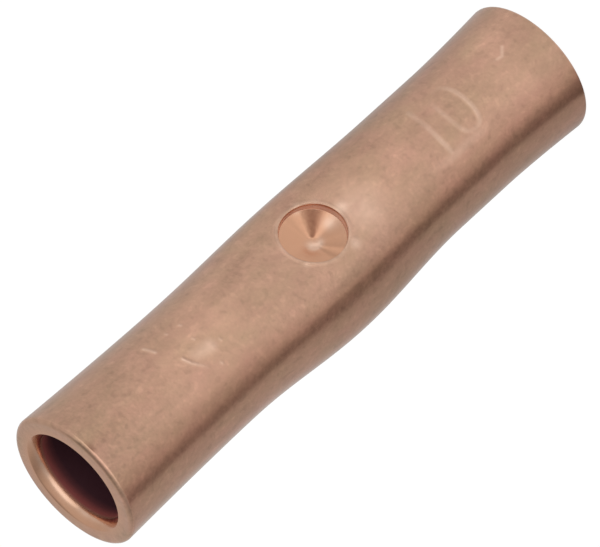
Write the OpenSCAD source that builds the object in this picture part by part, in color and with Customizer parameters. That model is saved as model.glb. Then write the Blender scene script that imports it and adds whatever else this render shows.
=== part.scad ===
// Compression splice: a copper sleeve that joins two stranded conductors end to end.
// The sleeve stands on one mouth with its axis on +Z. The stop faces -Y.
// It is a drawn tube with flared, rounded mouths. A press has flattened the front of its middle
// and pushed the flanks out. A conical dimple there raises a boss in the bore as the conductor stop.

/* [Barrel] */
// Length from mouth to mouth
length = 29; // [24:0.5:60]
// Bore that takes the conductor
bore_d = 4.5; // [3.5:0.1:9]
// Wall of the drawn tube
wall = 0.85; // [0.7:0.05:2]

/* [Mouths] */
// How far the flared rim stands out from the barrel
flare = 0.2; // [0.05:0.01:0.5]
// Length over which the barrel flares to the lower mouth
lower_flare_len = 4.5; // [2:0.1:6]
// Length over which the barrel flares to the upper mouth
upper_flare_len = 8; // [2:0.1:8]
// Width of the rim's rounded outer edge, on the radius
rim_width = 0.25; // [0.1:0.05:0.5]
// Height of the rim's rounded outer edge
rim_height = 0.2; // [0.1:0.05:0.6]
// Amount by which the lead-in widens the mouth of the bore, on the radius
lead_in = 0.2; // [0.1:0.05:0.35]
// Depth of the lead-in
lead_in_depth = 0.5; // [0.3:0.05:1.2]

/* [Squeezed middle] */
// Distance of the stop from mid-length, towards the lower mouth
stop_offset = 0.3; // [-2:0.1:2]
// Length of the stretch that the press squeezed
squeeze_len = 13; // [7:0.5:14]
// Depth by which the press flattened the front
press_depth = 0.64; // [0.1:0.02:0.8]
// Amount by which the shoulders beside the flattened front stand out
press_shoulder = 0.1; // [0:0.01:0.2]
// Amount by which the flanks bulge out further behind the shoulders
press_bulge = 0.32; // [0.05:0.01:0.5]
// Angle from the front at which the shoulders stand
press_turn = 60; // [50:1:75]
// Amount by which the squeezed bore is tighter than the drawn one, on the radius
bore_step = 0.05; // [0.03:0.01:0.2]

/* [Stop] */
// Diameter of the dimple's conical floor
dimple_d = 3; // [1.6:0.1:3.2]
// Depth of the dimple's tip below the flattened front
dimple_depth = 0.85; // [0.5:0.05:1.2]
// Included angle of the conical floor
floor_angle = 140; // [110:1:160]
// Lean of the dimple's flank from its axis
flank_angle = 10; // [5:1:40]
// Height of the boss in the squeezed bore
boss_h = 0.6; // [0.3:0.05:1]
// Diameter of the boss where it leaves the wall
boss_d = 4; // [3:0.1:5]
// Diameter of the boss's blunt tip
boss_tip_d = 1.6; // [0.6:0.1:2.4]

/* [Smoothness] */
// Sides of a lofted ring
ring_sides = 48; // [32:4:80]
// Rings along the outer skin
skin_steps = 32; // [24:2:48]
// Rings along the squeezed bore
squeeze_steps = 16; // [12:2:28]
// Rings round a rim's edge
rim_steps = 3; // [3:1:8]

/* [Hidden] */
$fn = 64;

bore_r = bore_d / 2;
barrel_r = bore_r + wall;
stop_z = length / 2 - stop_offset;
squeeze_low = stop_z - squeeze_len / 2;
squeeze_high = stop_z + squeeze_len / 2;
overrun = 1;
lead_in_overrun = overrun * lead_in / lead_in_depth;
flare_power = 1.5;

squeezed_front = barrel_r - press_depth;
dimple_tip = squeezed_front - dimple_depth;
boss_tip = bore_r - bore_step - press_depth - boss_h;
floor_h = dimple_d / 2 / tan(floor_angle / 2);
flank_h = barrel_r - dimple_tip;
flank_r = dimple_d / 2 + flank_h * tan(flank_angle);

// Flare at a distance from its mouth
function flared(from_mouth, flare_len) = flare * pow(max(0, 1 - from_mouth / flare_len), flare_power);

// Radius of the unsqueezed skin at a height
function skin_r(z) = barrel_r + flared(z, lower_flare_len) + flared(length - z, upper_flare_len);

// Share of the squeeze at a height: all at the stop, fading smoothly to none at both ends of the stretch
function squeeze_at(z) =
    z < squeeze_low || z > squeeze_high ? 0 : pow(cos(180 * (z - stop_z) / squeeze_len), 2);

// Radial move of the fully squeezed skin, by its angle from the front
function pressed(from_front) =
    from_front < press_turn
        ? press_shoulder - (press_depth + press_shoulder) * pow(cos(90 * from_front / press_turn), 2)
        : press_shoulder * pow(cos(90 * (from_front - press_turn) / (180 - press_turn)), 2)
            + press_bulge * pow(sin(180 * (from_front - press_turn) / (180 - press_turn)), 2);

// A ring is its height, its radius before the squeeze, and its share of the squeeze
function rim_rings(radius) = [
    for (i = [0:rim_steps])
        let (turn = 90 * i / rim_steps)
        [rim_height * (1 - cos(turn)), radius - rim_width * (1 - sin(turn)), 0]
];

function skin_rings() = [
    for (i = [1:skin_steps - 1])
        let (z = rim_height + (length - 2 * rim_height) * i / skin_steps)
        [z, skin_r(z), squeeze_at(z)]
];

function squeeze_rings(radius) = [
    for (i = [0:squeeze_steps])
        let (z = squeeze_low + squeeze_len * i / squeeze_steps)
        [z, radius, squeeze_at(z)]
];

function turned_over(rings) = [
    for (i = [len(rings) - 1:-1:0])
        [length - rings[i][0], rings[i][1], rings[i][2]]
];

// Outline of a ring, starting at the front, with its squeeze
function outline(ring) = [
    for (k = [0:ring_sides - 1])
        let (
            turn = 360 * k / ring_sides,
            r = ring[1] + ring[2] * pressed(min(turn, 360 - turn))
        )
        [r * sin(turn), -r * cos(turn), ring[0]]
];

// Solid skinned over a stack of rings, lowest first
module loft(rings) {
    last = len(rings) - 1;
    sides = [
        for (i = [0:last - 1], k = [0:ring_sides - 1])
            let (next = (k + 1) % ring_sides)
            [
                i * ring_sides + k,
                (i + 1) * ring_sides + k,
                (i + 1) * ring_sides + next,
                i * ring_sides + next
            ]
    ];
    low_cap = [for (k = [0:ring_sides - 1]) k];
    high_cap = [for (k = [ring_sides - 1:-1:0]) last * ring_sides + k];
    polyhedron(
        points = [for (ring = rings) each outline(ring)],
        faces = concat([low_cap, high_cap], sides),
        convexity = 4
    );
}

// Outside of the sleeve, from rim to rim
module outer_form() {
    loft(concat(
        rim_rings(skin_r(rim_height)),
        skin_rings(),
        turned_over(rim_rings(skin_r(length - rim_height)))
    ));
}

// Drawn bore of one mouth with its lead-in, running up from z = 0
module drawn_bore(depth) {
    translate([0, 0, -overrun])
        cylinder(h = depth + overrun, r = bore_r);
    translate([0, 0, -overrun])
        cylinder(h = overrun + lead_in_depth, r1 = bore_r + lead_in + lead_in_overrun, r2 = bore_r);
}

// Bore of the squeezed stretch, overlapping the drawn bores at both ends
module squeezed_bore() {
    rings = squeeze_rings(bore_r - bore_step);
    low_end = [squeeze_low - overrun, bore_r - bore_step, 0];
    high_end = [squeeze_high + overrun, bore_r - bore_step, 0];
    loft(concat([low_end], rings, [high_end]));
}

module bore_space() {
    drawn_bore(squeeze_low);
    translate([0, 0, length])
        mirror([0, 0, 1])
            drawn_bore(length - squeeze_high);
    squeezed_bore();
}

// Places a form on the stop's axis, its own z = 0 at a distance from the sleeve's axis, opening to -Y
module on_stop_axis(distance) {
    translate([0, -distance, stop_z])
        rotate([90, 0, 0])
            children();
}

// Punched dimple: a flat cone with a steep flank that opens to the outside
module dimple() {
    on_stop_axis(dimple_tip)
        rotate_extrude()
            polygon([
                [0, 0],
                [dimple_d / 2, floor_h],
                [flank_r, floor_h + flank_h],
                [0, floor_h + flank_h]
            ]);
}

// Metal that the punch pushed into the bore
module stop_boss() {
    on_stop_axis(boss_tip)
        cylinder(h = barrel_r - boss_tip, d1 = boss_tip_d, d2 = boss_d);
}

module splice_sleeve() {
    color([0.72, 0.56, 0.47])
        difference() {
            outer_form();
            difference() {
                bore_space();
                stop_boss();
            }
            dimple();
        }
}

splice_sleeve();
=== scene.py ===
# %% [markdown]
# # A copper compression splice
# This sleeve joins two stranded conductors end to end. Each conductor goes into one mouth as far
# as the stop in the middle, and a tool then crimps the copper on to it.
# The real one is a cut length of drawn tube. Its mouths flare a little, a press has flattened its
# middle and punched a conical dimple there, and a small die has stamped the conductor size on it.
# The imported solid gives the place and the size. Everything here is built round it, in metres.

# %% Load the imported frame
import math

import bpy
from mathutils import Matrix, Vector


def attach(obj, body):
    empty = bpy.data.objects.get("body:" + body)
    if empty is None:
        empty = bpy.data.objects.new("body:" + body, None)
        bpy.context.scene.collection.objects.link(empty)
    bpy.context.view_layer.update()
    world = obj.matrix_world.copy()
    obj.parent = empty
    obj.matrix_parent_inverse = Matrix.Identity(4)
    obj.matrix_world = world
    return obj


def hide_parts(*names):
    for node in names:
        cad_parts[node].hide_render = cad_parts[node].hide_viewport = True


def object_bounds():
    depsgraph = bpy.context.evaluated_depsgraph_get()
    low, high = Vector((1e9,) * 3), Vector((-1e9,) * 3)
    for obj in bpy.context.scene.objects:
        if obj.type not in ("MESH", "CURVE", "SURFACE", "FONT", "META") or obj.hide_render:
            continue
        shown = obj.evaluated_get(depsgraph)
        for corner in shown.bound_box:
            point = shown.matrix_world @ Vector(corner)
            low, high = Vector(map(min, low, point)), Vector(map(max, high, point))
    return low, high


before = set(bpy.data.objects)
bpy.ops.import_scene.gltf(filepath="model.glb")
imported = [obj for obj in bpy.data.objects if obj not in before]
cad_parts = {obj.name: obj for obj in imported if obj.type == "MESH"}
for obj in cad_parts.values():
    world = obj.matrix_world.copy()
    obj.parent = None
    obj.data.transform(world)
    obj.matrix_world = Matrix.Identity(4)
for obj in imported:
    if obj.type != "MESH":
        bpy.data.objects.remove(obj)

MM = 0.001
cad_low, cad_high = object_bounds()
print("solid", [round(v / MM, 2) for v in (*cad_low, *cad_high)], "mm")

# %% [markdown]
# ## The camera
# The camera comes first, because every later look goes through it. The sleeve stands on one mouth
# here, as it can stand on a bench, while the picture shows it lying across the frame. A camera may
# be rolled about its own line of sight, so the roll lays the sleeve down without moving it.

# %% Camera
IMAGE_WIDTH = 600
TILT, TURN, ROLL = (math.radians(v) for v in (26.14, -22.7, -132.31))
DISTANCE = 321 * MM
PIXELS_PER_MM = 23.75
SHIFT_PIXELS = (-5.85, -2.85)

scene = bpy.context.scene
middle = (cad_low + cad_high) / 2
to_camera = Vector((math.sin(TURN) * math.cos(TILT), -math.cos(TURN) * math.cos(TILT), math.sin(TILT)))
level = Vector((math.cos(TURN), math.sin(TURN), 0))
upright = to_camera.cross(level)
picture_right = math.cos(ROLL) * level + math.sin(ROLL) * upright
picture_up = math.cos(ROLL) * upright - math.sin(ROLL) * level
aim = middle + (picture_right * SHIFT_PIXELS[0] + picture_up * SHIFT_PIXELS[1]) * MM / PIXELS_PER_MM

bpy.ops.object.camera_add(location=aim + to_camera * DISTANCE)
camera = bpy.context.object
camera.name = "photo_camera"
camera.rotation_euler = Matrix((picture_right, picture_up, to_camera)).transposed().to_euler()
camera.data.sensor_width = 36
camera.data.lens = camera.data.sensor_width * PIXELS_PER_MM * DISTANCE / MM / IMAGE_WIDTH
camera.data.clip_start, camera.data.clip_end = 10 * MM, 20
scene.camera = camera
scene.view_settings.view_transform = "Standard"
print("lens", round(camera.data.lens, 1), "mm at", round(DISTANCE / MM), "mm")

# %% [markdown]
# ## Floor and light
# Bare metal has hardly a colour of its own: it shows what stands round it. The floor is therefore
# part of the finish. It is a wide plain white sheet that reads as white to the camera and in the
# copper, with a share of ordinary diffuse white that keeps the sleeve's soft shadow.

# %% Helpers for node trees
def new_material(name):
    """A node material with only an output in it."""
    material = bpy.data.materials.new(name)
    material.use_nodes = True
    material.node_tree.nodes.clear()
    out = material.node_tree.nodes.new("ShaderNodeOutputMaterial")
    return material, material.node_tree, out


def add_node(tree, kind, inputs=None, **settings):
    """A node with its settings, and its inputs set to a value or linked to a socket."""
    node = tree.nodes.new(kind)
    for key, value in settings.items():
        setattr(node, key, value)
    for key, value in (inputs or {}).items():
        if isinstance(value, bpy.types.NodeSocket):
            tree.links.new(value, node.inputs[key])
        else:
            node.inputs[key].default_value = value
    return node


def maths(tree, operation, *values):
    """The result of a Math node on numbers or sockets."""
    return add_node(tree, "ShaderNodeMath", dict(enumerate(values)), operation=operation).outputs[0]


def seen_directly(tree):
    """1 for a ray from the camera, from a mirror or through glass, and 0 for scattered light."""
    path = add_node(tree, "ShaderNodeLightPath")
    mirror = maths(tree, "MAXIMUM", path.outputs["Is Camera Ray"], path.outputs["Is Glossy Ray"])
    return maths(tree, "MAXIMUM", mirror, path.outputs["Is Transmission Ray"])


print("helpers", [f.__name__ for f in (new_material, add_node, maths, seen_directly)])

# %% Floor
FLOOR_SIZE = 6.0
PAPER_WHITE = 0.92
GLOW_STRENGTH, GLOW_SHARE = 1.07, 0.9

bpy.ops.object.select_all(action="DESELECT")
bpy.ops.mesh.primitive_plane_add(size=FLOOR_SIZE, location=(0, 0, 0))
floor = bpy.context.object
floor.name = "floor"
paper, tree, out = new_material("white_paper")
diffuse = add_node(tree, "ShaderNodeBsdfDiffuse", {"Color": (PAPER_WHITE, PAPER_WHITE, PAPER_WHITE, 1)})
glow = add_node(tree, "ShaderNodeEmission", {"Color": (1, 1, 1, 1), "Strength": GLOW_STRENGTH})
share = maths(tree, "MULTIPLY", seen_directly(tree), GLOW_SHARE)
mix = add_node(tree, "ShaderNodeMixShader", {0: share, 1: diffuse.outputs[0], 2: glow.outputs[0]})
tree.links.new(mix.outputs[0], out.inputs["Surface"])
floor.data.materials.append(paper)
print("floor", FLOOR_SIZE, "m across")

# %% [markdown]
# The room is brightest on the side that the stop faces, and darker to one side and overhead. A
# world made of a few grey tones by the compass bearing does that, and costs no objects.

# %% Helpers for tones
def between(tree, value, low, high, to_low=0.0, to_high=1.0):
    """A value carried from one range to another, and held at its ends."""
    return add_node(tree, "ShaderNodeMapRange", {"Value": value, "From Min": low, "From Max": high,
                                                 "To Min": to_low, "To Max": to_high}).outputs["Result"]


def mix_colour(tree, share, one, two, kind="MIX"):
    """Two colours mixed by a share, each a value or a socket."""
    return add_node(tree, "ShaderNodeMix", {0: share, 6: one, 7: two},
                    data_type="RGBA", blend_type=kind).outputs[2]


WARM_TINT = (0.06, -0.19, -0.23)


def toned(tree, value, low, high, tones):
    """Tones along a range. Each has its place, how light it is and, where it isn't grey, its warmth."""
    ramp = add_node(tree, "ShaderNodeValToRGB", {0: between(tree, value, low, high)})
    stops = ramp.color_ramp.elements
    stops.remove(stops[1])
    for i, (place, tone, *warmth) in enumerate(tones):
        share = (place - low) / (high - low)
        warm = warmth[0] if warmth else 0
        stop = stops[0] if i == 0 else stops.new(share)
        stop.position = share
        stop.color = (*(tone * (1 + tint * warm) for tint in WARM_TINT), 1)
    return ramp.outputs["Color"]


def bearing(tree, x, y):
    """Degrees round the compass: 0 is the way that the stop faces, 90 is towards +X."""
    turn = maths(tree, "ARCTAN2", x, maths(tree, "MULTIPLY", y, -1))
    return maths(tree, "DEGREES", turn)


print("helpers", [f.__name__ for f in (between, mix_colour, toned, bearing)])

# %% World
ROOM_TONES = [
    (-180, 0.66), (-140, 0.55), (-118, 0.42), (-100, 0.4), (-85, 0.52), (-60, 0.68), (-20, 0.76),
    (30, 0.76), (70, 0.72), (120, 0.66), (180, 0.66)]
OVERHEAD_TONE, OVERHEAD_RISE = 0.36, (0.8, 0.94)

world = bpy.data.worlds.new("studio")
scene.world = world
world.use_nodes = True
tree = world.node_tree
sky = add_node(tree, "ShaderNodeTexCoord").outputs["Generated"]
way = add_node(tree, "ShaderNodeSeparateXYZ", {0: sky}).outputs
around = toned(tree, bearing(tree, way["X"], way["Y"]), -180, 180, ROOM_TONES)
overhead = between(tree, way["Z"], *OVERHEAD_RISE)
room = mix_colour(tree, overhead, around, (OVERHEAD_TONE, OVERHEAD_TONE, OVERHEAD_TONE, 1))
tree.links.new(room, tree.nodes["Background"].inputs["Color"])
print("world of", len(ROOM_TONES), "tones")

# %% [markdown]
# One large soft lamp stands in front, as a softbox would. Its square face would show in the
# polished lead-in, so it gives scattered light and the shadow only, and stays out of reflections.

# %% Lamp
LAMP_PLACE = (0.02, -0.36, 0.42)
LAMP_SIZE, LAMP_RADIANCE = 0.46, 1.2

bpy.ops.object.light_add(type="AREA", location=LAMP_PLACE)
lamp = bpy.context.object
lamp.name = "key_lamp"
lamp.data.size = LAMP_SIZE
lamp.data.energy = LAMP_RADIANCE * math.pi * LAMP_SIZE ** 2
lamp.rotation_euler = (middle - lamp.location).to_track_quat("-Z", "Y").to_euler()
lamp.visible_glossy = False
print("lamp of", round(lamp.data.energy, 2), "W")

# %% [markdown]
# A photographer shapes what shiny metal shows with cards that stay out of the picture. Four are
# used here. A graded card lies round the sleeve's foot, and its tones give the barrel a light
# front, a dark line along one flank and a grey strip beyond it. A white card stands in front for
# the edge of the mouth, a low one lights the hollow below the stop, and a narrow dark one gives the
# dimple its dark wedge. Only reflections see them: the camera, the floor and the shadows don't.

# %% Helpers for the cards
def reflection_card(card, tones):
    """Makes a mesh a glowing card that only reflections see. The tones are made in its node tree."""
    material, tree, out = new_material(card.name + "_tones")
    where = add_node(tree, "ShaderNodeTexCoord").outputs["Object"]
    x, y, _ = add_node(tree, "ShaderNodeSeparateXYZ", {0: where}).outputs
    face = add_node(tree, "ShaderNodeEmission", {"Color": tones(tree, x, y), "Strength": 1.0})
    tree.links.new(face.outputs[0], out.inputs["Surface"])
    card.data.materials.append(material)
    card.visible_camera = card.visible_diffuse = card.visible_shadow = False
    card.visible_transmission = card.visible_volume_scatter = False


def standing_card(name, direction, distance, width, low, high, tones):
    """An upright card that faces the sleeve, with its tones from its left edge to its right one."""
    turn = math.radians(direction)
    place = Vector((math.sin(turn), -math.cos(turn), 0)) * distance + Vector((0, 0, (low + high) / 2))
    bpy.ops.object.select_all(action="DESELECT")
    bpy.ops.mesh.primitive_plane_add(size=1, location=place)
    card = bpy.context.object
    card.name = name
    card.scale = (width, high - low, 1)
    card.rotation_euler = (math.pi / 2, 0, turn)
    reflection_card(card, lambda tree, x, y: toned(tree, x, -0.5, 0.5, tones))


print("helpers", [f.__name__ for f in (reflection_card, standing_card)])

# %% [markdown]
# The graded card is made like a colour wheel. Its tones go round by the bearing, because each line
# along a tube shows one bearing. On top of them lie shades that reach over a few bearings and
# change with the distance, because each place along that line looks down at its own distance.

# %% Graded card
CARD_R, CARD_HEIGHT = 0.6, 0.05 * MM
TONES_CENTRE = (-0.77 * MM, -1.93 * MM)
FLOOR_TONES = [
    (-180, 0.62), (-162, 0.57, 0.1), (-150, 0.54, 0.1), (-124, 0.54, 0.1), (-112, 0.52, 0.2),
    (-107, 0.23, 0.8), (-98, 0.28, 0.8), (-92, 0.4, 0.65), (-86, 0.53, 0.55), (-77, 0.67, 0.35),
    (-66, 0.82, 0.2), (-56, 0.96, 0.1), (-45, 1.02), (-20, 0.95), (-5, 0.96), (8, 0.93), (20, 0.9),
    (41, 0.88), (65, 0.89), (79, 0.78), (95, 0.69), (116, 0.61), (150, 0.58), (180, 0.62)]
# A shade has the bearing of its middle, the degrees to each side where it stops being full and where
# it ends, and its tones by the distance in mm
SHADES_REACH = 80
FLOOR_SHADES = [
    (0, 360, 361, [(0, 0.89), (5, 0.91), (9.5, 0.93), (16, 0.93), (24, 0.93), (32, 1.01), (44, 1.04),
                   (80, 1.03)]),
    (8, 57, 87, [(0, 1), (5, 1), (6.3, 1.2), (7.8, 1.17), (9.5, 1), (14, 1), (18.5, 0.97), (20, 1),
                 (22, 1.14), (24, 1.02), (26, 0.87), (31, 0.9), (37, 1.05), (44, 1.11), (47, 0.86),
                 (55, 0.7), (65, 0.72), (80, 0.85)]),
    (-55, 10, 28, [(0, 1), (15, 1), (20, 0.82), (26, 0.78), (33, 0.72), (38, 1), (80, 1)]),
    (-50, 22, 42, [(0, 1), (40, 1.02), (47, 1.03), (48.5, 0.98), (50, 0.86), (58, 0.8), (80, 0.9)]),
    (-78, 8, 16, [(0, 1.12), (20, 1.12), (26, 1), (80, 1)]),
    (24, 6, 13, [(0, 1), (26.5, 1), (28, 1.35), (31.5, 1.35), (34, 1), (80, 1)]),
    (-62, 6, 13, [(0, 1), (28, 1), (31, 0.78), (35.5, 0.78), (39, 1), (80, 1)]),
    (62, 9, 18, [(0, 1), (22.5, 1), (25, 0.82), (29.5, 0.82), (32.5, 1), (80, 1)]),
    (-51, 9, 20, [(0, 0.91), (9, 0.91), (13, 1), (40, 1), (43, 1.1), (46.5, 1.18), (48, 1), (80, 1)])]


def floor_tones(tree, x, y):
    """The graded card's tones by the bearing from its centre, with shades by the distance in mm."""
    turn = bearing(tree, x, y)
    squares = [maths(tree, "MULTIPLY", v, v) for v in (x, y)]
    far = maths(tree, "DIVIDE", maths(tree, "SQRT", maths(tree, "ADD", *squares)), MM)
    colour = toned(tree, turn, -180, 180, FLOOR_TONES)
    for middle_turn, full, none, tones in FLOOR_SHADES:
        aside = maths(tree, "ABSOLUTE", maths(tree, "SUBTRACT", turn, middle_turn))
        shade = toned(tree, far, 0, SHADES_REACH, tones)
        shade = mix_colour(tree, between(tree, aside, full, none), shade, (1, 1, 1, 1))
        colour = mix_colour(tree, 1.0, colour, shade, "MULTIPLY")
    return colour


bpy.ops.object.select_all(action="DESELECT")
bpy.ops.mesh.primitive_circle_add(vertices=64, radius=CARD_R, fill_type="NGON",
                                  location=(*TONES_CENTRE, CARD_HEIGHT))
graded_card = bpy.context.object
graded_card.name = "graded_card"
reflection_card(graded_card, floor_tones)
print("graded card of", len(FLOOR_TONES), "tones and", len(FLOOR_SHADES), "shades")

# %% Standing cards
# Each has its bearing, its distance, its width, the heights of its edges and its tones
standing_card("white_card", -22, 55 * MM, 115 * MM, 14 * MM, 60 * MM,
              [(-0.5, 0.85), (-0.35, 1.15), (-0.1, 1.3), (0.2, 1.3), (0.4, 1.15), (0.5, 0.9)])
standing_card("low_card", 5, 32 * MM, 45 * MM, 5.4 * MM, 7.4 * MM,
              [(-0.5, 1.0), (-0.3, 1.3), (0, 1.55), (0.2, 1.45), (0.35, 1.0), (0.5, 0.85)])
standing_card("dark_card", -1.4, 50 * MM, 16 * MM, 6 * MM, 26 * MM,
              [(-0.5, 0.5, 0.8), (-0.42, 0.33, 0.9), (-0.05, 0.33, 0.9), (0.15, 0.5, 0.7),
               (0.5, 0.95, 0.3)])

# %% [markdown]
# ## The sleeve's section
# A drawn tube is a section turned about an axis, so the sleeve starts as half a section and is
# spun. A plane is merged to one point, and that point is extruded along the section: round the
# lower rim, up the outside, round the upper rim and back down the bore. The steps are close
# together where the metal is bent and round edges that catch the light.

# %% Sizes of the sleeve
LENGTH = cad_high.z - cad_low.z
BORE_R = 2.25 * MM
WALL = 0.85 * MM
BARREL_R = BORE_R + WALL
FLARE, FLARE_POWER = 0.2 * MM, 1.5
LOWER_FLARE, UPPER_FLARE = 4.5 * MM, 8 * MM
RIM_WIDTH, RIM_HEIGHT = 0.25 * MM, 0.2 * MM
LEAD_IN_ROUND, LEAD_IN_TURN = 1.0 * MM, math.radians(45)
FACE_EDGE_ROUND = 0.05 * MM
STOP_Z = LENGTH / 2 - 0.3 * MM
LEAD_IN_STEPS, FACE_EDGE_STEPS, RIM_STEPS, SPIN_STEPS = 12, 5, 10, 160
FLARE_GAP, SKIN_GAP, BORE_GAP = 0.25 * MM, 0.2 * MM, 0.25 * MM
print("barrel", round(2 * BARREL_R / MM, 2), "mm across, stop at", round(STOP_Z / MM, 2), "mm")

# %% Half of the section
def skin_radius(z):
    """Outer radius of the tube at a height, before the press."""
    low = max(0, 1 - z / LOWER_FLARE)
    high = max(0, 1 - (LENGTH - z) / UPPER_FLARE)
    return BARREL_R + FLARE * (low ** FLARE_POWER + high ** FLARE_POWER)


def rounded(before, corner, after, radius, steps):
    """Points of the arc that rounds a corner of the section, each a radius and a height."""
    a, b, c = (Vector(p) for p in (before, corner, after))
    one, two = (a - b).normalized(), (c - b).normalized()
    half = one.angle(two) / 2
    back = radius / math.tan(half)
    centre = b + (one + two).normalized() * radius / math.sin(half)
    start, end = b + one * back - centre, b + two * back - centre
    turn = start.angle_signed(end)
    spins = (Matrix.Rotation(-turn * i / steps, 2) for i in range(steps + 1))
    return [tuple(centre + spin @ start) for spin in spins]


def mouth_section(flare_length, height_of):
    """One mouth from the bore to the barrel, as radius and distance from the mouth."""
    rim = skin_radius(height_of(RIM_HEIGHT))
    depth = LEAD_IN_ROUND * math.sin(LEAD_IN_TURN)
    points = []
    for i in range(LEAD_IN_STEPS):
        turn = LEAD_IN_TURN * i / LEAD_IN_STEPS
        r = BORE_R + LEAD_IN_ROUND * (1 - math.cos(turn))
        points.append((r, depth - LEAD_IN_ROUND * math.sin(turn)))
    face_edge = (BORE_R + LEAD_IN_ROUND * (1 - math.cos(LEAD_IN_TURN)), 0)
    points += rounded(points[-1], face_edge, (1, 0), FACE_EDGE_ROUND, FACE_EDGE_STEPS)
    for i in range(RIM_STEPS + 1):
        turn = math.radians(90 * i / RIM_STEPS)
        points.append((rim - RIM_WIDTH * (1 - math.sin(turn)), RIM_HEIGHT * (1 - math.cos(turn))))
    steps = round(flare_length / FLARE_GAP)
    for i in range(1, steps + 1):
        d = RIM_HEIGHT + (flare_length - RIM_HEIGHT) * i / steps
        points.append((skin_radius(height_of(d)), d))
    return points


def stations(step, *ends):
    """Heights from the first end to the last, about a step apart, the outermost ones left out."""
    heights = [ends[0]]
    for low, high in zip(ends, ends[1:]):
        count = max(1, round(abs(high - low) / step))
        heights += [low + (high - low) * i / count for i in range(1, count + 1)]
    return heights[1:-1]


lower_mouth = mouth_section(LOWER_FLARE, lambda d: d)
upper_mouth = mouth_section(UPPER_FLARE, lambda d: LENGTH - d)
section = list(lower_mouth)
section += [(BARREL_R, z) for z in stations(SKIN_GAP, LOWER_FLARE, STOP_Z, LENGTH - UPPER_FLARE)]
section += [(r, LENGTH - d) for r, d in reversed(upper_mouth)]
bore_top, bore_bottom = LENGTH - upper_mouth[0][1], lower_mouth[0][1]
section += [(BORE_R, z) for z in stations(BORE_GAP, bore_top, STOP_Z, bore_bottom)]
section.append(section[0])
print("section of", len(section), "points")

# %% Draw the section and spin it
WELD = 0.002 * MM

bpy.ops.object.select_all(action="DESELECT")
bpy.ops.mesh.primitive_plane_add(size=MM, location=(0, 0, 0))
sleeve = bpy.context.object
sleeve.name = "copper_sleeve"
bpy.ops.object.mode_set(mode="EDIT")
bpy.ops.mesh.select_all(action="SELECT")
bpy.ops.mesh.merge(type="CENTER")
bpy.ops.transform.translate(value=(section[0][0], 0, section[0][1]))
for (r0, z0), (r1, z1) in zip(section, section[1:]):
    bpy.ops.mesh.extrude_vertices_move(TRANSFORM_OT_translate={"value": (r1 - r0, 0, z1 - z0)})
bpy.ops.mesh.select_all(action="SELECT")
bpy.ops.mesh.spin(steps=SPIN_STEPS, angle=math.tau, center=(0, 0, 0), axis=(0, 0, 1))
bpy.ops.mesh.select_all(action="SELECT")
bpy.ops.mesh.remove_doubles(threshold=WELD)
bpy.ops.mesh.normals_make_consistent(inside=False)
bpy.ops.object.mode_set(mode="OBJECT")
print("spun tube", len(sleeve.data.polygons), "faces")

# %% [markdown]
# ## The squeezed middle
# The press flattens the front of the round tube and pushes its flanks out, most at the stop and
# less and less towards the mouths. Scaling a ring with proportional editing would make an oval,
# but the real tube keeps its round shoulders beside the flat. So each point is moved in or out
# along its own radius, by how far round from the front it is and how far along from the stop.

# %% Press the middle
SQUEEZE_HALF = 6.5 * MM
PRESS_DEPTH, PRESS_SHOULDER, PRESS_BULGE = 0.64 * MM, 0.1 * MM, 0.32 * MM
PRESS_TURN = math.radians(60)


def tube_turn(p):
    """Angle of a point round the tube, 0 at the front and growing towards +X."""
    return math.atan2(p.x, -p.y)


def pressed(turn, z):
    """How far the press moves the tube along its radius."""
    along = min(1, abs(z - STOP_Z) / SQUEEZE_HALF)
    share = math.cos(math.pi / 2 * along) ** 2
    if abs(turn) < PRESS_TURN:
        hollow = math.cos(math.pi / 2 * turn / PRESS_TURN) ** 2
        return share * (PRESS_SHOULDER - (PRESS_DEPTH + PRESS_SHOULDER) * hollow)
    past = math.pi * (abs(turn) - PRESS_TURN) / (math.pi - PRESS_TURN)
    return share * (PRESS_SHOULDER * math.cos(past / 2) ** 2 + PRESS_BULGE * math.sin(past) ** 2)


def on_tube(radius, turn, z):
    """The point at an angle and a height whose radius was this one before the press."""
    r = radius + pressed(turn, z)
    return Vector((r * math.sin(turn), -r * math.cos(turn), z))


def drawn_radius(p):
    """Radius that a point had before the press."""
    return p.xy.length - pressed(tube_turn(p), p.z)


for v in sleeve.data.vertices:
    v.co = on_tube(v.co.xy.length, tube_turn(v.co), v.co.z)
sleeve.data.update()
front = min(v.co.y for v in sleeve.data.vertices if abs(v.co.z - STOP_Z) < 0.01 * MM)
print("front at the stop", round(front / MM, 3), "mm")

# %% [markdown]
# ## The punched stop
# The dimple needs rings of points that run round it, and the spun tube has none there. A window of
# faces is therefore cut out of the front, a disc of rings is made in its place, and the two edges
# are bridged.

# %% Cut a window in the front
WINDOW_TURN = math.radians(45.1)
WINDOW_HALF = 2.3 * MM


def select_points(piece, wanted):
    """Goes to edit mode with just the points selected that the test accepts."""
    bpy.ops.object.mode_set(mode="OBJECT")
    bpy.ops.object.select_all(action="DESELECT")
    bpy.context.view_layer.objects.active = piece
    piece.select_set(True)
    mesh = piece.data
    for part in (mesh.polygons, mesh.edges):
        part.foreach_set("select", [False] * len(part))
    mesh.vertices.foreach_set("select", [bool(wanted(v.co)) for v in mesh.vertices])
    bpy.ops.object.mode_set(mode="EDIT")
    bpy.ops.mesh.select_mode(type="VERT")


def is_outside(p):
    """True for a point on the outer skin, and not on the bore."""
    return drawn_radius(p) > BORE_R + WALL * 0.7


def in_window(p):
    """True for a point of the skin that the window takes in."""
    return abs(p.z - STOP_Z) < WINDOW_HALF and abs(tube_turn(p)) < WINDOW_TURN and is_outside(p)


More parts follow.
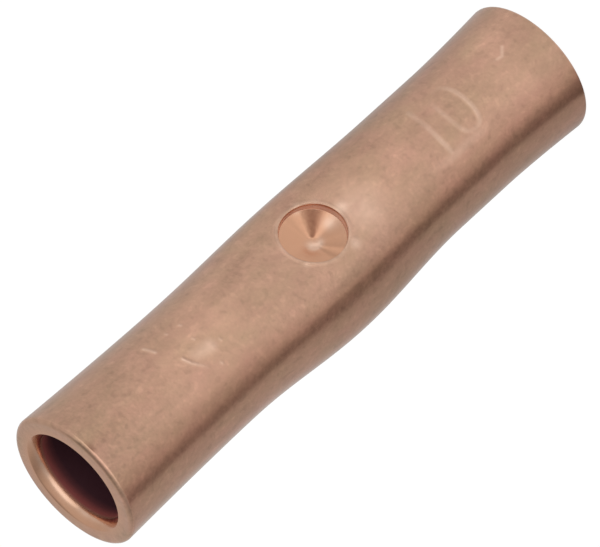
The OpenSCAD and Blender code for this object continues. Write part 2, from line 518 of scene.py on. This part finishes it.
select_points(sleeve, in_window)
bpy.ops.mesh.select_mode(use_extend=False, use_expand=False, type="FACE")
bpy.ops.mesh.delete(type="FACE")
bpy.ops.mesh.select_all(action="DESELECT")
bpy.ops.mesh.select_mode(type="EDGE")
open_edges = dict(use_wire=False, use_boundary=True, use_multi_face=False,
                  use_non_contiguous=False, use_verts=False)
bpy.ops.mesh.select_non_manifold(**open_edges)
bpy.ops.object.mode_set(mode="OBJECT")
window_points = sum(v.select for v in sleeve.data.vertices)
print("window edge of", window_points, "points")

# %% Make the disc
# Radii of the rings in mm: closest together where the flank stands, and close again at the tip
DISC_R = 2.0
radii = [1.94, 1.88, 1.82, 1.77, 1.72, 1.68, 1.64, 1.61, 1.585, 1.565, 1.545]
radii += [1.53 - 0.007 * i for i in range(20)]
radii += [1.37, 1.33, 1.28] + [1.2 - 0.1 * i for i in range(8)] + [0.45 - 0.03 * i for i in range(15)]
bpy.ops.object.select_all(action="DESELECT")
bpy.ops.mesh.primitive_circle_add(vertices=window_points, radius=DISC_R * MM,
                                  rotation=(math.pi / 2, 0, 0), location=(0, -BARREL_R, STOP_Z))
disc = bpy.context.object
bpy.ops.object.transform_apply(location=True, rotation=True, scale=True)
bpy.ops.object.mode_set(mode="EDIT")
bpy.ops.mesh.select_mode(type="EDGE")
bpy.ops.mesh.select_all(action="SELECT")
before = DISC_R
for radius in radii:
    bpy.ops.mesh.extrude_edges_move()
    bpy.ops.transform.resize(value=(radius / before, 1, radius / before),
                             center_override=(0, -BARREL_R, STOP_Z))
    before = radius
bpy.ops.mesh.extrude_edges_move()
bpy.ops.mesh.merge(type="CENTER")
bpy.ops.object.mode_set(mode="OBJECT")
print("disc of", len(radii) + 1, "rings and", len(disc.data.polygons), "faces")

# %% Join the disc to the tube
bpy.ops.object.select_all(action="DESELECT")
disc.select_set(True)
sleeve.select_set(True)
bpy.context.view_layer.objects.active = sleeve
bpy.ops.object.join()
bpy.ops.object.mode_set(mode="EDIT")
bpy.ops.mesh.select_all(action="DESELECT")
bpy.ops.mesh.select_mode(type="EDGE")
bpy.ops.mesh.select_non_manifold(**open_edges)
bpy.ops.mesh.bridge_edge_loops(number_cuts=6)
bpy.ops.mesh.select_all(action="SELECT")
bpy.ops.mesh.normals_make_consistent(inside=False)
bpy.ops.object.mode_set(mode="OBJECT")
print("joined", len(sleeve.data.polygons), "faces")

# %% [markdown]
# Then comes the punch itself: every point that stands higher than the punch's nose is pushed down
# to it. The blend between skin and nose is soft, so the edge of the dimple comes out slightly
# rounded, as pressed copper is, with a little lip. The punch's tip is chipped on one side, which
# leaves a small flat at the bottom; its paleness and the pale crescent round the tip are painted
# highlight. The same push from outside raises the boss in the bore.

# %% Shape of the punch and the boss
PUNCH_TIP = -1.68 * MM
FLOOR_R = 1.44 * MM
FLOOR_SLOPE = math.tan(math.radians(20))
FLANK_SLOPE = 1 / math.tan(math.radians(6))
TIP_ROUND, HEEL_ROUND, EDGE_BLEND = 0.02 * MM, 0.012 * MM, 0.05 * MM
LIP, LIP_R, LIP_WIDTH = 0.025 * MM, 1.56 * MM, 0.09 * MM
BOSS_TIP, BOSS_R, BOSS_SLOPE = -0.96 * MM, 0.8 * MM, 1.78
CHIP_RISE, CHIP_FLAT, CHIP_SLOPE, CHIP_BACK, CHIP_SPREAD = 0.09 * MM, 0.2 * MM, 0.22, 0.1, 0.03
CHIP_WAY, CHIP_EDGE, CHIP_BLEND = (-0.664, 0.747), 0.05 * MM, 0.015 * MM


def soft_max(a, b, blend):
    """The larger of two values, with a smooth blend where they meet."""
    return (a + b + math.sqrt((a - b) ** 2 + blend * blend)) / 2


def front_skin(x, z):
    """The front of the unpunched outside, found by walking round the tube until x fits."""
    turn = 0
    for _ in range(20):
        turn = math.asin(x / (skin_radius(z) + pressed(turn, z)))
    return on_tube(skin_radius(z), turn, z).y


def punch_nose(x, z):
    """Face of the punch at a place beside its axis: a flat cone with a chipped tip, and a steep flank."""
    r = math.hypot(x, z)
    along = x * CHIP_WAY[0] + z * CHIP_WAY[1]
    across = x * CHIP_WAY[1] - z * CHIP_WAY[0]
    cone = math.hypot(r * FLOOR_SLOPE, TIP_ROUND) - TIP_ROUND
    chip = CHIP_RISE + CHIP_SLOPE * max(0, along - CHIP_FLAT) + CHIP_BACK * min(0, along)
    chip += CHIP_SPREAD * math.hypot(across, CHIP_EDGE)
    flank = FLOOR_R * FLOOR_SLOPE + (r - FLOOR_R) * FLANK_SLOPE
    return PUNCH_TIP - soft_max(soft_max(cone, chip, CHIP_BLEND), flank, HEEL_ROUND)


def boss_nose(r):
    """Face of the boss at a distance from the punch's axis."""
    return BOSS_TIP - BOSS_SLOPE * max(0, r - BOSS_R)


front = front_skin(0, STOP_Z)
print("dimple", round((punch_nose(0, 0) - front) / MM, 2), "mm deep below the flattened front")

# %% [markdown]
# Each point also keeps notes for the finish: how far it lies in the bore, from 0 at the mouth to
# 2 deep inside, how clean the punch or the cutter left it, how torn the dimple's flank is, and how
# much it is painted paler. That paleness is partly wear and partly painted highlight round the
# dimple and on the hollow below the stop, and a painted highlight inside each mouth. Notes on points
# need no texture and no unwrapping, and they stay with the metal in every view.

# %% Where the metal is worn and where highlights are painted
# A spot has its place from the punch's axis and its size in mm, and how pale it is painted, partly as wear
# and partly as painted highlight
WORN_SPOTS = [
    (-1.59, -0.88, 0.24, 0.9), (-0.06, -1.71, 0.28, 0.9), (1.42, -0.55, 0.2, 0.7), (0.95, -1.22, 0.16, 0.5),
    (-0.87, 1.39, 0.17, 0.5), (0, -1.08, 0.3, 0.8), (-0.13, 0.12, 0.26, 1), (-0.75, -2.35, 0.95, 0.55)]
# The band is a painted highlight: a pale crescent round the dimple's tip
BAND_WAY, BAND_R, BAND_WIDTH, BAND_WEAR = (-0.98, -0.19), 0.33 * MM, 0.17 * MM, 0.9


def bell(r, middle_r, width):
    """1 at a distance, fading smoothly on both sides of it."""
    return math.exp(-((r - middle_r) / width) ** 2)


def towards(x, z, way):
    """1 where a place lies straight that way from the punch's axis, and 0 square to it or behind."""
    return max(0, (x * way[0] + z * way[1]) / max(math.hypot(x, z), 0.01 * MM))


def worn_share(x, z):
    """How much the dimple, its lip and the hollow below it are painted paler at a place, partly as wear and
    partly as painted highlight.
    """
    worn = BAND_WEAR * bell(math.hypot(x, z), BAND_R, BAND_WIDTH) * towards(x, z, BAND_WAY)
    for u, v, size, share in WORN_SPOTS:
        away = math.hypot(x / MM - u, z / MM - v) / size
        worn += share * math.exp(-away * away)
    return min(1, worn)


print(len(WORN_SPOTS), "worn spots")

# %% Notes on the bore and its painted shade, on worn metal and on painted highlights
# The oxide starts over the first range; over the second it darkens further with depth, which is painted
# shade
OXIDE_STARTS, OXIDE_DEEPENS = (0.42 * MM, 0.64 * MM), (0.66 * MM, 1.12 * MM)
MOUTH_CLEAN, CLEAN_ENDS = 0.7, (0.5 * MM, 0.8 * MM)
# A pale band a third of a millimetre into each mouth is a painted highlight along the lead-in's inner edge
MOUTH_RUB, RUB_DEPTH, RUB_WIDTH = 0.7, 0.34 * MM, 0.12 * MM


def ramp_share(value, low, high):
    """0 below the low value, 1 above the high one, and a smooth rise between them."""
    t = min(1, max(0, (value - low) / (high - low)))
    return t * t * (3 - 2 * t)


mesh = sleeve.data
notes = ("in_bore", "clean", "torn", "rubbed")
for name in notes:
    mesh.attributes.new(name, "FLOAT", "POINT")
in_bore, clean, torn, rubbed = (mesh.attributes[name].data for name in notes)
for i, v in enumerate(mesh.vertices):
    p = v.co
    if not is_outside(p):
        from_mouth = min(p.z, LENGTH - p.z)
        in_bore[i].value = ramp_share(from_mouth, *OXIDE_STARTS) + ramp_share(from_mouth, *OXIDE_DEEPENS)
        clean[i].value = MOUTH_CLEAN * (1 - ramp_share(from_mouth, *CLEAN_ENDS))
        # Painted highlight inside the mouth
        rubbed[i].value = MOUTH_RUB * bell(from_mouth, RUB_DEPTH, RUB_WIDTH)
    elif p.y < 0:
        rubbed[i].value = worn_share(p.x, p.z - STOP_Z)
print("notes on", len(mesh.vertices), "points")

# %% [markdown]
# Now the punch comes down. Inside the window, points of the skin go to its nose and points of the
# bore go to the boss. The dimple is noted as clean, its flank as torn and its lip as paler, partly
# wear and partly painted highlight.

# %% Press the dimple and the boss
PUNCHED = (0.02 * MM, 0.15 * MM)
TORN = (FLOOR_R - 0.02 * MM, FLOOR_R + 0.01 * MM)
LIP_RUB = 0.3

for i, v in enumerate(mesh.vertices):
    p = v.co
    up = p.z - STOP_Z
    if abs(up) > WINDOW_HALF or p.y > 0:
        continue
    r = math.hypot(p.x, up)
    if not is_outside(p):
        p.y = max(p.y, boss_nose(r))
    elif abs(tube_turn(p)) < WINDOW_TURN:
        bare_skin = front_skin(p.x, p.z)
        lip = bell(r, LIP_R, LIP_WIDTH)
        p.y = soft_max(bare_skin - LIP * lip, punch_nose(p.x, up), EDGE_BLEND)
        clean[i].value = ramp_share(p.y - bare_skin, *PUNCHED)
        torn[i].value = clean[i].value * ramp_share(r, *TORN)
        # The lip is painted paler: partly wear, partly painted highlight
        rubbed[i].value = max(LIP_RUB * lip, rubbed[i].value)
mesh.update()
print("dimple tip", round(PUNCH_TIP / MM, 2), "mm, boss tip", round(BOSS_TIP / MM, 2), "mm")

# %% [markdown]
# ## The size mark
# A small die has stamped the conductor size, a plain 10, into the barrel beyond the stop, with the
# edge of the die as a line under it. The strokes are shallow and soft, painted paler as a painted
# highlight, and only a few tenths of a millimetre wide, so that part of the skin is subdivided
# first. The new points are put back on the curve, and then each one sinks by its distance from the
# nearest stroke. The strokes are drawn on the unrolled barrel: the first number runs round the tube
# from the line of the stop, the second is the height and the third is how deep the die went there.
# A hand-held die never stands quite straight, so the depths differ and the nought is open at one end.

# %% Strokes of the mark
def nought(centre_u, centre_z, half_u, half_z, steps):
    """A round stroke with straight sides, deepest along its lower side and open at one end."""
    points = []
    for i in range(steps + 1):
        t = math.tau * i / steps
        c, s = math.cos(t), math.sin(t)
        u = centre_u + half_u * math.copysign(abs(c) ** 0.75, c)
        z = centre_z + half_z * math.copysign(abs(s) ** 0.75, s)
        side = 0.82 - 0.22 * s - 0.12 * c
        if s > 0:
            side *= 1 - 0.85 * ramp_share(c, 0.1, 0.75)
        points.append((u, z, side * (1 - 0.85 * max(0, c) ** 3) * (1 - 0.5 * max(0, -c) ** 4)))
    return points


one = [(0.95, 7.1, 0.5), (0.42, 7.15, 0.55), (-0.4, 7.19, 0.8), (-0.99, 7.21, 0.95), (-1.7, 7.17, 0.85)]
die_edge = [(-1.7, 8.5, 0.05), (-1.84, 7.7, 0.25), (-1.84, 7.2, 0.5), (-1.82, 6.2, 0.55), (-1.86, 5.6, 0.4),
            (-1.9, 5.1, 0.1)]
strokes = [(0.21, one), (0.19, nought(-0.35, 5.58, 1.26, 0.62, 36)), (0.3, die_edge)]
print("mark of", len(strokes), "strokes, each with half its width in mm")

# %% Stamp the mark
def stroke_depth(u, z, lines):
    """Depth of the deepest stroke over a point of the unrolled barrel, all in mm, as a share."""
    deepest = 0
    for half_width, line in lines:
        for (u0, z0, d0), (u1, z1, d1) in zip(line, line[1:]):
            du, dz = u1 - u0, z1 - z0
            t = ((u - u0) * du + (z - z0) * dz) / (du * du + dz * dz)
            t = min(1, max(0, t))
            away = math.hypot(u - u0 - t * du, z - z0 - t * dz) / half_width
            if away < 1:
                deepest = max(deepest, (d0 + (d1 - d0) * t) * (1 - away * away) ** 2)
    return deepest


def stamp(lines, depth, cuts, rub):
    """Subdivides the skin round some strokes, presses them in and paints them paler by a share: wear for
    nicks, a painted highlight for the mark.
    """
    margin = max(half_width for half_width, line in lines) + 0.15
    us = [p[0] for half_width, line in lines for p in line]
    zs = [p[1] for half_width, line in lines for p in line]
    low_u, high_u, low_z, high_z = min(us) - margin, max(us) + margin, min(zs) - margin, max(zs) + margin

    def in_area(p):
        if not low_z * MM < p.z < high_z * MM or not is_outside(p):
            return False
        return low_u < tube_turn(p) * BARREL_R / MM < high_u

    select_points(sleeve, in_area)
    bpy.ops.mesh.select_mode(type="FACE")
    bpy.ops.mesh.subdivide(number_cuts=cuts)
    bpy.ops.object.mode_set(mode="OBJECT")
    bright = sleeve.data.attributes["rubbed"].data
    count = 0
    for i, v in enumerate(sleeve.data.vertices):
        if not v.select:
            continue
        turn = tube_turn(v.co)
        share = stroke_depth(turn * BARREL_R / MM, v.co.z / MM, lines)
        v.co = on_tube(skin_radius(v.co.z) - share * depth * MM, turn, v.co.z)
        bright[i].value = max(bright[i].value, rub * share)
        count += share > 0
    sleeve.data.update()
    return count


# The strokes are painted paler as a painted highlight
MARK_DEPTH, MARK_RUB, MARK_CUTS = 0.02, 0.65, 4
print("mark of", stamp(strokes, MARK_DEPTH, MARK_CUTS, MARK_RUB), "points")

# %% [markdown]
# Loose sleeves knock against each other in the box. The clearest of those nicks, soft and shallow,
# are pressed in the same way. The short ones are pecks, and the wide one is only a scuff.

# %% Nicks
near_nicks = [
    (0.14, [(-0.51, 22.91, 0.75), (-0.87, 22.77, 0.8), (-1.42, 22.35, 0.15)]),
    (0.5, [(-0.72, 22.3, 0.35), (-0.85, 21.6, 0.6)]),
    (0.14, [(1.07, 23.59, 0.6), (0.54, 23.45, 0.75)]),
]
near_nicks += [(0.12, [(u, z, 0.45), (u + 0.06, z + 0.02, 0.4)])
               for u, z in ((0.84, 22.42), (0.7, 21.7), (-1.73, 21.72), (-0.2, 21.87), (-0.97, 21.05))]
far_nick = [(0.13, [(0.21, 1.9, 0.6), (-0.1, 2.26, 0.6), (-0.05, 2.52, 0.4)])]
NICK_DEPTH, NICK_RUB, NICK_CUTS = 0.01, 1, 4
counts = [stamp(lines, NICK_DEPTH, NICK_CUTS, NICK_RUB) for lines in (near_nicks, far_nick)]
print("nicks of", counts, "points")

# %% [markdown]
# The mesh still shows its flat faces. Smooth shading hides them everywhere on this round piece. An
# edge that turned by more than 60 degrees at once would stay crisp.

# %% Smooth the shading
bpy.ops.object.select_all(action="DESELECT")
sleeve.select_set(True)
bpy.context.view_layer.objects.active = sleeve
bpy.ops.object.shade_smooth_by_angle(angle=math.radians(60))
triangles = sum(len(p.vertices) - 2 for p in sleeve.data.polygons)
print("sleeve of", triangles, "triangles")

# %% [markdown]
# ## The copper
# The sleeve is bare copper that has been annealed and pickled: a dull tan pink, finely mottled in
# pink and olive, with pale and dark specks. Where the punch and the cutter have been, the metal is
# cleaner and warmer, and the dimple's flank is torn dull. Worn places are paler, and so are the
# places where a highlight is painted in. The bore is dull reddish oxide near the mouth, painted
# darker with depth as shade. One material does it all.
# Noise in the object's own coordinates gives the mottling, and the notes on the points mix in the
# other kinds of copper, the painted highlights and the painted shade in the bore.

# %% Helpers for the copper
def srgb(red, green, blue):
    """A colour given as it looks, as the linear values that a shader wants."""
    def linear(v):
        v /= 255
        return v / 12.92 if v <= 0.04045 else ((v + 0.055) / 1.055) ** 2.4
    return (linear(red), linear(green), linear(blue), 1)


def noise(tree, where, period, detail=2.0, roughness=0.5):
    """A noise whose features are about a period apart."""
    return add_node(tree, "ShaderNodeTexNoise", {"Vector": where, "Scale": 1 / period, "Detail": detail,
                                                 "Roughness": roughness}).outputs["Fac"]


def note(tree, name):
    """A number kept on the points of the mesh."""
    return add_node(tree, "ShaderNodeAttribute", attribute_name=name).outputs["Fac"]


print("a linear mid grey is", round(srgb(128, 128, 128)[0], 3))

# %% Colour of the copper
OLIVE_SKIN, PINK_SKIN = srgb(194, 158, 131), srgb(203, 158, 136)
CLEAN_METAL, TORN_METAL, RUBBED_METAL = srgb(212, 161, 130), srgb(226, 182, 160), srgb(234, 198, 175)
OXIDE, DEEP_OXIDE = srgb(162, 86, 82), srgb(80, 46, 54)

copper, tree, out = new_material("pickled_copper")
where = add_node(tree, "ShaderNodeTexCoord").outputs["Object"]
drawn = add_node(tree, "ShaderNodeVectorMath", {0: where, 1: (1, 1, 0.6)}, operation="MULTIPLY").outputs[0]
blotch = noise(tree, drawn, 1.3 * MM, 4, 0.6)
patch = noise(tree, drawn, 0.55 * MM, 2)
grain = noise(tree, where, 0.17 * MM, 2, 0.6)
specks = noise(tree, where, 0.3 * MM, 0)
skin = mix_colour(tree, between(tree, blotch, 0.3, 0.7), OLIVE_SKIN, PINK_SKIN)
shade = between(tree, patch, 0.25, 0.75, 0.93, 1.07)
shade = maths(tree, "MULTIPLY", shade, between(tree, grain, 0.25, 0.75, 0.94, 1.06))
shade = maths(tree, "MULTIPLY", shade, between(tree, specks, 0.24, 0.36, 0.91, 1.0))
shade = maths(tree, "MULTIPLY", shade, between(tree, specks, 0.64, 0.76, 1.0, 1.08))
skin = mix_colour(tree, 1.0, skin, shade, "MULTIPLY")
skin = mix_colour(tree, note(tree, "clean"), skin, CLEAN_METAL)
skin = mix_colour(tree, note(tree, "torn"), skin, TORN_METAL)
# Paler where the metal is worn and where a highlight is painted in
worn = maths(tree, "MULTIPLY", note(tree, "rubbed"), between(tree, patch, 0.3, 0.65, 0.55, 0.95))
skin = mix_colour(tree, worn, skin, RUBBED_METAL)
# In the bore: reddish oxide near the mouth, painted darker with depth as shade
bore = between(tree, note(tree, "in_bore"), 0, 1)
deep = between(tree, note(tree, "in_bore"), 1, 2)
skin = mix_colour(tree, bore, skin, mix_colour(tree, deep, OXIDE, DEEP_OXIDE))
print("colour of", len(tree.nodes), "nodes")

# %% [markdown]
# Pickled copper is satin and not mirror-bright, so its roughness is near 0.2 and wavers with the
# grain. Oxide and torn metal are duller and less metallic. The bump is only a few thousandths of a
# millimetre, which breaks up the reflections without looking like a cast surface.

# %% Gloss and relief of the copper
rough = between(tree, grain, 0.3, 0.7, 0.19, 0.25)
rough = maths(tree, "ADD", rough, maths(tree, "MULTIPLY", bore, 0.3))
rough = maths(tree, "SUBTRACT", rough, maths(tree, "MULTIPLY", note(tree, "clean"), 0.04))
rough = maths(tree, "ADD", rough, maths(tree, "MULTIPLY", note(tree, "torn"), 0.2))
dull = maths(tree, "MAXIMUM", bore, maths(tree, "MULTIPLY", note(tree, "torn"), 0.8))
metallic = maths(tree, "SUBTRACT", 1.0, maths(tree, "MULTIPLY", dull, 0.6))
relief = maths(tree, "ADD", grain, patch)
bump = add_node(tree, "ShaderNodeBump", {"Strength": 0.4, "Distance": 0.006 * MM, "Height": relief})
metal = add_node(tree, "ShaderNodeBsdfPrincipled", {"Base Color": skin, "Metallic": metallic,
                                                    "Roughness": rough, "Normal": bump.outputs[0]})
tree.links.new(metal.outputs[0], out.inputs["Surface"])
sleeve.data.materials.clear()
sleeve.data.materials.append(copper)
print("material", copper.name, "with", len(tree.nodes), "nodes")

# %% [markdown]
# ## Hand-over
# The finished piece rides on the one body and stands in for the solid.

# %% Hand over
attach(sleeve, "root")
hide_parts("splice_sleeve")
